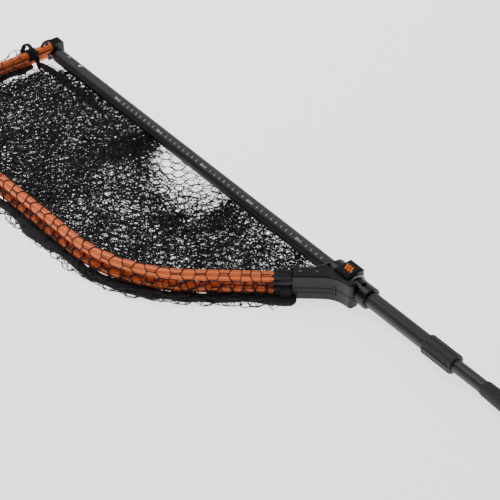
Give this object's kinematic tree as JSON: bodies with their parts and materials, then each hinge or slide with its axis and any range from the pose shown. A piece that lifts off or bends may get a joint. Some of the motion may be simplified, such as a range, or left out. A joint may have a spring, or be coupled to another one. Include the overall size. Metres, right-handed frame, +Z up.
{
  "type": "folding landing net",
  "caption": "Folding landing net with stacked orange half hoops, rubber mesh bag and a telescopic handle that slides through the hub.",
  "frame": {"origin": "middle of the flat foot under the hub, on the ground", "axes": "+X along the handle axis towards the tip of the hoop, +Y towards the folded half hoops, +Z up"},
  "size_m": [1.229, 0.267, 0.0433],
  "materials": {
    "black_nylon": "moulded glass-filled nylon, satin",
    "bearing_plastic": "natural acetal",
    "orange_anodised": "bright orange anodised extrusion",
    "black_anodised": "satin black anodised extrusion",
    "spring_steel": "plain spring steel",
    "black_screw": "blackened steel",
    "dark_rivet": "dull rivet",
    "bright_steel": "polished steel",
    "badge": "gloss moulded badge with three plain orange bars",
    "collar_plastic": "moulded ribbed collar",
    "grip_rubber": "soft dotted rubber",
    "net_rubber": "rubber coated mesh",
    "black_webbing": "woven webbing"
  },
  "bodies": {
    "hub": {"hub_sleeve": "black_nylon", "hub_circlip": "spring_steel", "thrust_washers": "bearing_plastic", "hub_set_screw": "black_screw", "lower_yoke": "black_nylon", "lower_arm": "orange_anodised", "lower_arm_rivets": "dark_rivet", "lower_tip_block": "black_nylon", "lower_tip_screws": "black_screw", "tip_pin": "spring_steel", "tip_clip": "spring_steel", "tip_washer": "bearing_plastic", "net_bag": "net_rubber", "hem_band": "black_webbing", "lower_yoke_strap": "black_webbing"},
    "upper_half": {"upper_yoke": "black_nylon", "badge_plate": "badge", "upper_arm": "orange_anodised", "upper_arm_rivets": "dark_rivet", "upper_tip_block": "black_nylon", "upper_tip_screws": "black_screw", "tip_strap": "black_webbing", "upper_yoke_strap": "black_webbing"},
    "handle": {"outer_tube": "black_anodised", "nose_plug": "black_nylon", "nose_rivet": "bright_steel", "button_housing": "bearing_plastic", "button_spring": "spring_steel", "lock_ferrule": "black_anodised", "lock_collet": "bearing_plastic"},
    "snap_button": {"snap_button": "bright_steel"},
    "twist_collar": {"twist_collar": "collar_plastic"},
    "inner_handle": {"inner_tube": "black_anodised", "guide_bush": "bearing_plastic", "grip": "grip_rubber", "butt_cap": "black_nylon"}
  },
  "joints": [
    {"name": "fold", "type": "hinge", "parent": "hub", "child": "upper_half", "pos_m": [0, 0, 0.021], "axis": [1, 0, 0], "range_deg": [0, 180]},
    {"name": "handle_slide", "type": "slide", "parent": "hub", "child": "handle", "axis": [-1, 0, 0], "range_m": [0, 0.6226]},
    {"name": "button_press", "type": "slide", "parent": "handle", "child": "snap_button", "axis": [0, 0, 1], "range_m": [-0.0018, 0.0016], "stiffness_N_per_m": 400, "deforming": ["button_spring"]},
    {"name": "collar_twist", "type": "hinge", "parent": "handle", "child": "twist_collar", "pos_m": [-0.1875, 0, 0.021], "axis": [1, 0, 0], "range_deg": [0, 120]},
    {"name": "handle_extend", "type": "slide", "parent": "handle", "child": "inner_handle", "axis": [-1, 0, 0], "range_m": [0, 0.4]}
  ]
}
